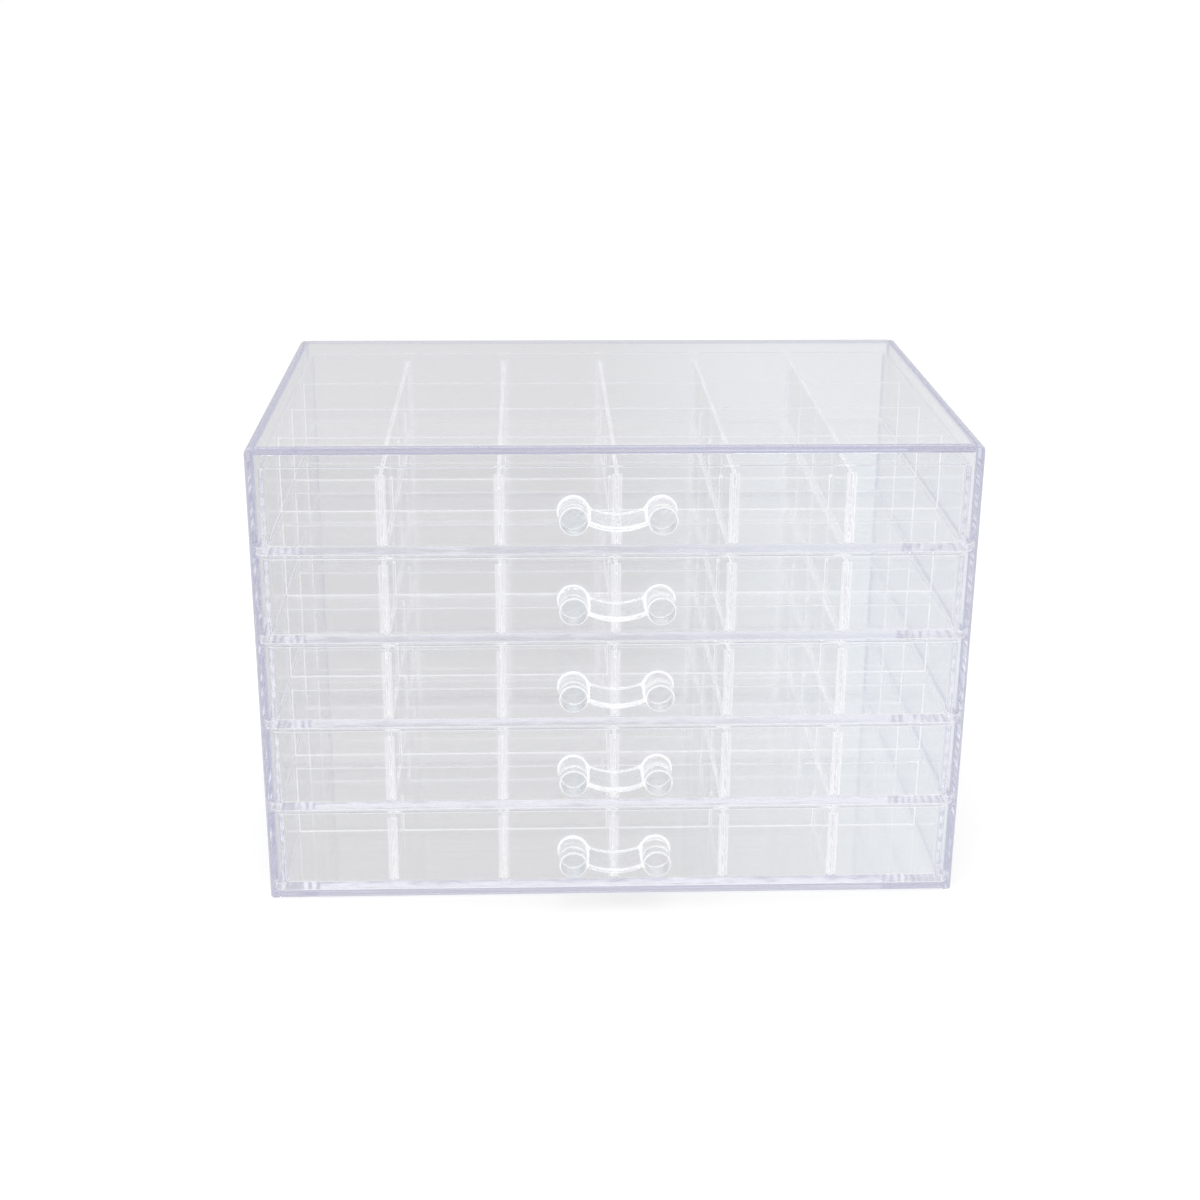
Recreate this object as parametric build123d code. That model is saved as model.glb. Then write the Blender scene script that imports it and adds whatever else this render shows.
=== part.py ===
from build123d import *
import os

# Clear organizer box with five pull-out drawers, each a tray parted into small cells.
# Millimetres. +X is to the right, drawers pull out along -Y, +Z is up.
# The origin is the middle of the case's footprint, on the surface that it stands on.

# Case: five flat panels bonded edge to edge, open at the front
case_width = 235.0
case_depth = 155.0
side_thickness = 3.2
top_thickness = 3.0
base_thickness = 3.0
back_thickness = 2.5
crown_share = 0.8  # radius of the side panels' long upper edges, as a share of their thickness
arris = 0.6  # the bevel on every other outer edge that a hand meets

# Drawers and the stack that they make
drawer_count = 5
drawer_height = 29.2
drawer_gap = 1.0  # from one drawer's rim to the underside of the next
lowest_gap = 0.5  # from the base panel to the lowest drawer
top_gap = 3.5  # from the top drawer's rim to the top panel
front_proud = 1.0  # the drawers' fronts stand this far out of the case
rear_gap = 1.5  # from a shut drawer to the back panel
side_gap = 1.0  # from a tray's wall to the side panel

# Runners: the tray's floor reaches out past its walls, into grooves in the side panels
runner_grip = 1.7  # how far a runner goes into its groove
runner_play = 0.4  # from the runner's edge to the bottom of the groove
runner_headroom = 0.4  # from the runner's top to the roof of the groove
runner_corner = 3.0
groove_flare = 0.6  # the grooves' mouths are eased at the front, up and down
flare_length = 1.2

# Tray
floor_thickness = 2.8
wall_thickness = 1.5
tray_corner = 1.5

# Dividers: two sets of slotted strips that cross as a grid
columns = 6
rows = 4
rim_drop = 2.7  # the strips' tops are this far below the tray's rim
strip_thickness = 1.4
strip_end_play = 0.2
slot_play = 0.1
rib_width = 0.8  # upright ribs on the front and rear walls hold the long strips' ends
rib_reach = 1.3
rib_root = 0.7  # how deep the ribs start inside the walls

# Handle: two posts and the curved web between them
handle_rise = 15.0  # from the drawer's underside to the posts' axes
post_spacing = 28.0
post_reach = 12.5
post_radius = 4.75
collar_radius = 5.25
collar_thickness = 1.2
web_thickness = 1.7
web_rise = 2.6  # top of the web's ends at the wall, above the posts' axes
web_sag = 3.1
web_fall = 0.18  # how far the web comes down for each millimetre that it comes out
web_bite = 0.6  # the web's ends lie this share of a radius inside the posts
web_setback = 1.6  # from the web's front edge to the posts' tips

# What follows from those sizes
drawer_pitch = drawer_height + drawer_gap
stack_height = lowest_gap + drawer_count * drawer_pitch - drawer_gap + top_gap
case_height = base_thickness + stack_height + top_thickness
bay_half = case_width / 2 - side_thickness
tray_half = bay_half - side_gap
runner_half = bay_half + runner_grip
groove_half = runner_half + runner_play
front_y = -case_depth / 2
drawer_front = front_y - front_proud
drawer_back = case_depth / 2 - back_thickness - rear_gap
drawer_depth = drawer_back - drawer_front
drawer_mid = (drawer_front + drawer_back) / 2
cavity_width = 2 * (tray_half - wall_thickness)
cavity_depth = drawer_depth - 2 * wall_thickness
strip_height = drawer_height - rim_drop - floor_thickness
slot_width = strip_thickness + 2 * slot_play
column_pitch = (cavity_width + strip_thickness) / columns
row_pitch = (cavity_depth + strip_thickness) / rows
column_lines = [(i - columns / 2) * column_pitch for i in range(1, columns)]
row_lines = [(i - rows / 2) * row_pitch for i in range(1, rows)]


def underside(level):
    return base_thickness + lowest_gap + (level - 1) * drawer_pitch


def block(x, y, z):
    # a box between two values along each axis
    centre = ((x[0] + x[1]) / 2, (y[0] + y[1]) / 2, (z[0] + z[1]) / 2)
    return Pos(*centre) * Box(x[1] - x[0], y[1] - y[0], z[1] - z[0])


def right_side():
    outer = case_width / 2
    rear = case_depth / 2
    panel = block((bay_half, outer), (front_y, rear), (0, case_height))
    crown = panel.faces().sort_by(Axis.X)[-1].edges().sort_by(Axis.Z)[-1]
    panel = fillet(crown, crown_share * side_thickness)
    outside = panel.faces().filter_by(Axis.X).sort_by(Axis.X)[-1]
    panel = chamfer(outside.edges().sort_by(Axis.Z)[:-1], arris)
    for level in range(1, drawer_count + 1):
        low = underside(level)
        high = low + floor_thickness + runner_headroom
        panel -= block((bay_half, groove_half), (front_y, rear - back_thickness), (low, high))
        panel -= flared_mouth(low, high)
    return panel


def flared_mouth(low, high):
    # the groove widens towards the front over the last of its length
    def opening(y, spread):
        plane = Plane(origin=(bay_half, y, (low + high) / 2), x_dir=(1, 0, 0), z_dir=(0, -1, 0))
        depth = 2 * (groove_half - bay_half)
        return plane * Rectangle(depth, high - low + 2 * spread)

    return loft([opening(front_y, groove_flare), opening(front_y + flare_length, 0)])


def top_panel():
    low = case_height - top_thickness
    panel = block((-bay_half, bay_half), (front_y, -front_y), (low, case_height))
    front_edges = panel.faces().sort_by(Axis.Y)[0].edges().filter_by(Axis.X)
    return chamfer(front_edges, arris)


def base_panel():
    panel = block((-bay_half, bay_half), (front_y, -front_y), (0, base_thickness))
    front_edges = panel.faces().sort_by(Axis.Y)[0].edges().filter_by(Axis.X)
    return chamfer(front_edges, arris)


def back_panel():
    rear = case_depth / 2
    high = case_height - top_thickness
    return block((-bay_half, bay_half), (rear - back_thickness, rear), (base_thickness, high))


def tray(level):
    low = underside(level)
    floor_top = low + floor_thickness

    def outline(width, depth, corner, height):
        return Pos(0, drawer_mid, height) * RectangleRounded(width, depth, corner)

    body = extrude(outline(2 * runner_half, drawer_depth, runner_corner, low), floor_thickness)
    body += extrude(outline(2 * tray_half, drawer_depth, tray_corner, low), drawer_height)
    body -= extrude(outline(cavity_width, cavity_depth, tray_corner, floor_top), drawer_height)
    return body + guide_ribs(floor_top)


def guide_ribs(floor_top):
    # a pair of ribs at each end of every long strip
    offset = slot_width / 2 + rib_width / 2
    length = rib_root + rib_reach
    from_mid = cavity_depth / 2 + rib_root - length / 2
    rib = Box(rib_width, length, strip_height)
    places = [(x + side, end) for x in column_lines for side in (-offset, offset) for end in (-1, 1)]
    return [Pos(x, drawer_mid + end * from_mid, floor_top + strip_height / 2) * rib for x, end in places]


def strip(length, slots_at, slots_from_top):
    # a strip stands on the XY plane along X, with a half-depth slot at each crossing
    outline = Pos(0, strip_height / 2) * Rectangle(length, strip_height)
    depth = strip_height / 2 + slot_play
    level = strip_height - depth / 2 if slots_from_top else depth / 2
    for x in slots_at:
        outline -= Pos(x, level) * Rectangle(slot_width, depth)
    return extrude(Plane.XZ * outline, strip_thickness / 2, both=True)


def long_dividers(level):
    floor_top = underside(level) + floor_thickness
    one = Rot(0, 0, 90) * strip(cavity_depth - 2 * strip_end_play, row_lines, True)
    return Compound(children=[Pos(x, drawer_mid, floor_top) * one for x in column_lines])


def cross_dividers(level):
    floor_top = underside(level) + floor_thickness
    one = strip(cavity_width - 2 * strip_end_play, column_lines, False)
    return Compound(children=[Pos(0, drawer_mid + y, floor_top) * one for y in row_lines])


def post():
    # stands on the XY plane: a round shank that comes out of a wider collar
    collar = extrude(Circle(collar_radius), collar_thickness)
    return collar + extrude(Circle(post_radius), post_reach)


def web():
    # a curved band that slopes down on its way out, cut off upright at both ends
    half = post_spacing / 2 - web_bite * post_radius
    slope = Plane(origin=(0, 0, 0), x_dir=(1, 0, 0), z_dir=(0, -1, -web_fall))
    low = web_rise - web_thickness
    upper = ThreePointArc((-half, web_rise), (0, web_rise - web_sag), (half, web_rise))
    lower = ThreePointArc((half, low), (0, low - web_sag), (-half, low))
    right = Line((half, web_rise), (half, low))
    left = Line((-half, low), (-half, web_rise))
    band = extrude(slope * make_face([upper, right, lower, left]), post_reach, both=True)
    reach = (-post_reach + web_setback, -collar_thickness / 2)
    return band & block((-half, half), reach, (-post_spacing, post_spacing))


def handle(level):
    out = Rot(90, 0, 0) * post()
    left, right = Pos(-post_spacing / 2, 0, 0) * out, Pos(post_spacing / 2, 0, 0) * out
    return Pos(0, drawer_front, underside(level) + handle_rise) * (left + right + web())


os.makedirs("parts", exist_ok=True)
right = right_side()
export_step(right, "parts/right_side_panel.step")
export_step(mirror(right, about=Plane.YZ), "parts/left_side_panel.step")
export_step(top_panel(), "parts/top_panel.step")
export_step(base_panel(), "parts/base_panel.step")
export_step(back_panel(), "parts/back_panel.step")
for level in range(1, drawer_count + 1):
    export_step(tray(level), f"parts/tray_{level}.step")
    export_step(long_dividers(level), f"parts/long_dividers_{level}.step")
    export_step(cross_dividers(level), f"parts/cross_dividers_{level}.step")
    export_step(handle(level), f"parts/handle_{level}.step")
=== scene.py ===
import bpy
import math
from mathutils import Matrix, Vector

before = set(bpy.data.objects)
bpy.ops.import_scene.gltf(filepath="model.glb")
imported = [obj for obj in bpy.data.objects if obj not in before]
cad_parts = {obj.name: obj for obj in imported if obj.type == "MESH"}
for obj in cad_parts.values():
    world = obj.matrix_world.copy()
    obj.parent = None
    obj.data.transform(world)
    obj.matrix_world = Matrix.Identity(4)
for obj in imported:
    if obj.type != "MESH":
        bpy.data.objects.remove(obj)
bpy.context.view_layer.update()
scene = bpy.context.scene
print("frame loaded")


class Value:
    # a shader socket that Python's own operators work on
    def __init__(self, shader, socket):
        self.shader = shader
        self.socket = socket

    def maths(self, operation, first, second):
        return self.shader.node("Math", {"operation": operation}, {0: first, 1: second})

    def __add__(self, other):
        return self.maths("ADD", self, other)

    def __radd__(self, other):
        return self.maths("ADD", other, self)

    def __mul__(self, other):
        return self.maths("MULTIPLY", self, other)

    def __rmul__(self, other):
        return self.maths("MULTIPLY", other, self)

    def __gt__(self, other):
        return self.maths("GREATER_THAN", self, other)

    def __lt__(self, other):
        return self.maths("LESS_THAN", self, other)


class Shader:
    # a material's or the world's nodes
    def __init__(self, owner):
        owner.use_nodes = True
        self.tree = owner.node_tree
        self.tree.nodes.clear()

    def node(self, kind, settings=None, values=None, output=0):
        made = self.tree.nodes.new("ShaderNode" + kind)
        for name, value in (settings or {}).items():
            setattr(made, name, value)
        for slot, value in (values or {}).items():
            if isinstance(value, Value):
                self.tree.links.new(value.socket, made.inputs[slot])
            else:
                made.inputs[slot].default_value = value
        return Value(self, made.outputs[output]) if len(made.outputs) else made

    def along(self, axis):
        # a place along one of the object's own axes; in the world, the direction's share of that axis
        return self.node("SeparateXYZ", values={0: self.node("TexCoord", output="Object")}, output=axis)

    def blend(self, share, first, second):
        return self.node("MixShader", values={0: share, 1: first, 2: second})

    def fade(self, value, start, end, first, second):
        # a colour that turns from the first to the second while the value goes from start to end
        share = self.node("MapRange", values={"Value": value, "From Min": start, "From Max": end})
        return self.node("Mix", {"data_type": "RGBA"}, {0: share, 6: first, 7: second}, output=2)


# camera, matched to the photograph's corners of the case
view = {
    "place": (-0.0275, -0.6401, 0.3173),
    "pitch": 0.3555,
    "yaw": 0.0396,
    "roll": 0.0065,
    "focal": 1849.0,  # in pixels of the photograph's frame
    "pixels": 1200.0,
    "sensor": 36.0,
    "nearest": 0.01,
}


def makeCamera():
    data = bpy.data.cameras.new("camera")
    data.sensor_width = view["sensor"]
    data.lens = view["focal"] / view["pixels"] * view["sensor"]
    data.clip_start = view["nearest"]
    camera = bpy.data.objects.new("camera", data)
    scene.collection.objects.link(camera)
    ahead = Vector((math.sin(view["yaw"]) * math.cos(view["pitch"]),
                    math.cos(view["yaw"]) * math.cos(view["pitch"]),
                    -math.sin(view["pitch"])))
    side = Vector((math.cos(view["yaw"]), -math.sin(view["yaw"]), 0))
    up = side.cross(ahead)
    turn = Matrix.Rotation(view["roll"], 3, ahead)
    axes = Matrix((turn.inverted() @ side, turn.inverted() @ up, -ahead)).transposed()
    camera.matrix_world = Matrix.Translation(view["place"]) @ axes.to_4x4()
    scene.camera = camera


makeCamera()
print("camera placed")

# studio: a white room and floor. Rays that have met the plastic see a pale grey instead, which is
# bluer to the right on the floor, and bright overhead
white = (1, 1, 1, 1)
studio = {
    "floorSize": 16.0,
    "floorColour": (0.95, 0.95, 0.955, 1),
    "floorGlow": 1.1,
    "shadowShare": 0.42,  # how much of the floor's white is light that a shadow takes away
    "roomStrength": 0.95,
    "backdropStrength": 1.0,
    "grey": (0.73, 0.73, 0.735, 1),
    "greyRight": (0.86, 0.895, 0.92, 1),
    "rightFrom": 0.02,  # places along X
    "rightTo": 0.14,
    "bright": (1.25, 1.25, 1.26, 1),
    "brightFrom": 0.15,  # sines of the heights between which grey turns to bright
    "brightTo": 0.60,
}
lamps = [
    {"name": "softboxAbove", "place": (0.1, -0.2, 1.5), "aim": (0, 0, 0.08), "size": 1.0, "watts": 8.0},
    {"name": "softboxLeft", "place": (-1.1, -0.5, 0.9), "aim": (0, 0, 0.08), "size": 0.7, "watts": 5.0},
]


def isRay(shader, *kinds):
    # each flag is 0 or 1, so any of them lifts the sum over a half
    flags = [shader.node("LightPath", output="Is " + kind + " Ray") for kind in kinds]
    half = 0.5
    return sum(flags[1:], flags[0]) > half


def lightRoom():
    world = bpy.data.worlds.new("room")
    scene.world = world
    room = Shader(world)
    lit = room.node("Background", values={"Color": white, "Strength": studio["roomStrength"]})
    seen = room.node("Background", values={"Color": white, "Strength": studio["backdropStrength"]})
    shades = room.fade(room.along("Z"), studio["brightFrom"], studio["brightTo"],
                       studio["grey"], studio["bright"])
    through = room.node("Background", values={"Color": shades})
    bare = room.blend(isRay(room, "Camera"), lit, seen)
    surface = room.blend(isRay(room, "Glossy", "Transmission"), bare, through)
    room.node("OutputWorld", values={"Surface": surface})


def layFloor():
    bpy.ops.mesh.primitive_plane_add(size=studio["floorSize"], location=(0, 0, 0))
    floor = bpy.context.object
    floor.name = "floor"
    paint = bpy.data.materials.new("floorPaint")
    shader = Shader(paint)
    matt = shader.node("BsdfDiffuse", values={"Color": studio["floorColour"]})
    glow = shader.node("Emission", values={"Color": white, "Strength": studio["floorGlow"]})
    shades = shader.fade(shader.along("X"), studio["rightFrom"], studio["rightTo"],
                         studio["grey"], studio["greyRight"])
    through = shader.node("Emission", values={"Color": shades})
    bare = shader.blend(isRay(shader, "Camera") * (1 - studio["shadowShare"]), matt, glow)
    surface = shader.blend(isRay(shader, "Glossy", "Transmission"), bare, through)
    shader.node("OutputMaterial", values={"Surface": surface})
    floor.data.materials.append(paint)


def hangLamp(lamp):
    data = bpy.data.lights.new(lamp["name"], "AREA")
    data.energy = lamp["watts"]
    data.size = lamp["size"]
    light = bpy.data.objects.new(lamp["name"], data)
    scene.collection.objects.link(light)
    light.location = lamp["place"]
    aim = Vector(lamp["aim"]) - Vector(lamp["place"])
    light.rotation_euler = aim.to_track_quat("-Z", "Y").to_euler()


lightRoom()
layFloor()
for lamp in lamps:
    hangLamp(lamp)
scene.view_settings.view_transform = "Standard"
# light crosses dozens of clear faces on its way through the drawers, and shadow rays even more
bounces = {"light": 36, "shadow": 128}
scene.cycles.max_bounces = bounces["light"]
scene.cycles.transmission_bounces = bounces["light"]
scene.cycles.glossy_bounces = bounces["light"]
scene.cycles.transparent_max_bounces = bounces["shadow"]
scene.cycles.caustics_refractive = False
scene.cycles.caustics_reflective = False
print("studio lit")

# clear plastics. Each turns from its tint to its second tint between two places along X, in metres, a
# painted light that makes the trays and dividers lighter and bluer to the right and the handles faintly
# cyan to the left; absorb is what a long way through it turns to, shade what a shadow ray keeps at each
# face, and glow a painted edge light: an emission on the eased edges that stands in for light running
# inside the plastic
plastics = {
    "casePlastic": {
        "tint": (0.975, 0.975, 0.982, 1), "second": (0.975, 0.975, 0.982, 1), "turn": (0.0, 0.09),
        "rough": 0.02, "ior": 1.49, "absorb": (0.50, 0.51, 0.80, 1), "depth": 2.0,
        "ripple": 0.008, "rippleScale": 30.0, "shade": (0.975, 0.975, 0.98, 1),
        "glow": (0.58, 0.58, 0.69, 1), "paintedGlowShare": 0.65,
    },
    "trayPlastic": {
        "tint": (0.983, 0.983, 0.983, 1), "second": (0.992, 0.996, 0.997, 1), "turn": (0.0, 0.09),
        "rough": 0.03, "ior": 1.5, "absorb": (0.55, 0.56, 0.82, 1), "depth": 1.5,
        "ripple": 0.03, "rippleScale": 45.0, "shade": (0.985, 0.985, 0.99, 1),
        "glow": (1.05, 1.05, 1.06, 1), "paintedGlowShare": 0.45,
    },
    "dividerPlastic": {
        "tint": (0.983, 0.983, 0.983, 1), "second": (0.992, 0.996, 0.997, 1), "turn": (0.0, 0.09),
        "rough": 0.03, "ior": 1.5, "absorb": (0.55, 0.56, 0.82, 1), "depth": 1.5,
        "ripple": 0.03, "rippleScale": 55.0, "shade": (0.985, 0.985, 0.99, 1),
        "glow": (1.05, 1.05, 1.06, 1), "paintedGlowShare": 0.45,
    },
    "handlePlastic": {
        "tint": (0.965, 0.98, 0.985, 1), "second": (0.98, 0.98, 0.985, 1), "turn": (-0.004, 0.006),
        "rough": 0.02, "ior": 1.5, "absorb": (0.6, 0.6, 0.9, 1), "depth": 1.0,
        "ripple": 0.1, "rippleScale": 320.0, "shade": (0.985, 0.985, 0.99, 1),
        "glow": (1.08, 1.08, 1.08, 1), "paintedGlowShare": 0.6,
    },
}
rippleHeight = 0.002
# light that has crossed this many faces is stopped, and in its place the plastic is painted with a pale
# lilac glow
paintedDeepGlow = {"faces": 22.0, "colour": (0.60, 0.605, 0.67, 1)}


def clearPlastic(name, edges=False):
    look = plastics[name]
    material = bpy.data.materials.new(name + ("PaintedEdgeLight" if edges else ""))
    shader = Shader(material)
    wave = shader.node("TexNoise", values={"Vector": shader.node("TexCoord", output="Object"),
                                           "Scale": look["rippleScale"]})
    # flat normals, because smooth ones turn grazing light black on faces this thin
    bump = shader.node("Bump", values={"Strength": look["ripple"], "Distance": rippleHeight, "Height": wave,
                                       "Normal": shader.node("NewGeometry", output="True Normal")})
    # the plastic's own tint, turned along X by a painted light: lighter and bluer to the right on trays and
    # dividers, faintly cyan to the left on handles
    tint = shader.fade(shader.along("X"), *look["turn"], look["tint"], look["second"])
    surface = shader.node("BsdfPrincipled", values={
        "Base Color": tint, "Roughness": look["rough"], "IOR": look["ior"],
        "Transmission Weight": 1.0, "Normal": bump})
    if edges:
        # painted highlight: the eased edges glow, though no lamp is there
        glow = shader.node("Emission", values={"Color": look["glow"]})
        surface = shader.blend(look["paintedGlowShare"], surface, glow)
    # painted light: a ray past that many faces ends in a pale lilac emission
    paintedDeepMask = shader.node("LightPath", output="Ray Depth") > paintedDeepGlow["faces"]
    surface = shader.blend(paintedDeepMask, surface, shader.node("Emission", values={"Color": paintedDeepGlow["colour"]}))
    through = shader.node("BsdfTransparent", values={"Color": look["shade"]})
    surface = shader.blend(shader.node("LightPath", output="Is Shadow Ray"), surface, through)
    inside = shader.node("VolumeAbsorption", values={"Color": look["absorb"], "Density": look["depth"]})
    shader.node("OutputMaterial", values={"Surface": surface, "Volume": inside})
    return material


# which plastic each kind of CAD node is made of, and how its edges are eased, in metres; the trays'
# widths run along the edges beside each corner, so that none juts out where a wall meets the runners
finishes = {
    "panel": {"plastic": "casePlastic", "edge": 0.0005, "measure": "OFFSET"},
    "tray": {"plastic": "trayPlastic", "edge": 0.00035, "measure": "ABSOLUTE"},
    "dividers": {"plastic": "dividerPlastic", "edge": 0.0004, "measure": "OFFSET"},
    "handle": {"plastic": "handlePlastic", "edge": 0.0005, "measure": "OFFSET"},
}
fit = {"weld": 0.000002, "airGap": 0.00003, "flat": math.radians(0.5), "sharp": math.radians(35),
       "steps": 2}
slots = {"face": 0, "edge": 1}


def easeEdges(node, finish):
    # the loose faces are joined, the sharp edges are rounded, and a hair of air is left at every contact
    join = node.modifiers.new("join", "WELD")
    join.merge_threshold = fit["weld"]
    flat = node.modifiers.new("flat", "DECIMATE")
    flat.decimate_type = "DISSOLVE"
    flat.angle_limit = fit["flat"]
    soft = node.modifiers.new("soft", "BEVEL")
    soft.width = finish["edge"]
    soft.segments = fit["steps"]
    soft.limit_method = "ANGLE"
    soft.angle_limit = fit["sharp"]
    # the rounded edges take the second plastic, the one with the painted edge glow
    soft.material = slots["edge"]
    soft.offset_type = finish["measure"]
    soft.loop_slide = False
    soft.use_clamp_overlap = False
    gap = node.modifiers.new("gap", "DISPLACE")
    gap.mid_level = 0
    gap.strength = -fit["airGap"]


def finishNodes():
    # the face's plastic comes first and the edge's, with its painted glow, second, as the slots say
    made = {name: [clearPlastic(name, slot == "edge") for slot in slots] for name in plastics}
    for name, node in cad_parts.items():
        finish = finishes[next(kind for kind in finishes if kind in name)]
        node.data.materials.clear()
        for material in made[finish["plastic"]]:
            node.data.materials.append(material)
        easeEdges(node, finish)


finishNodes()
print("plastics applied")
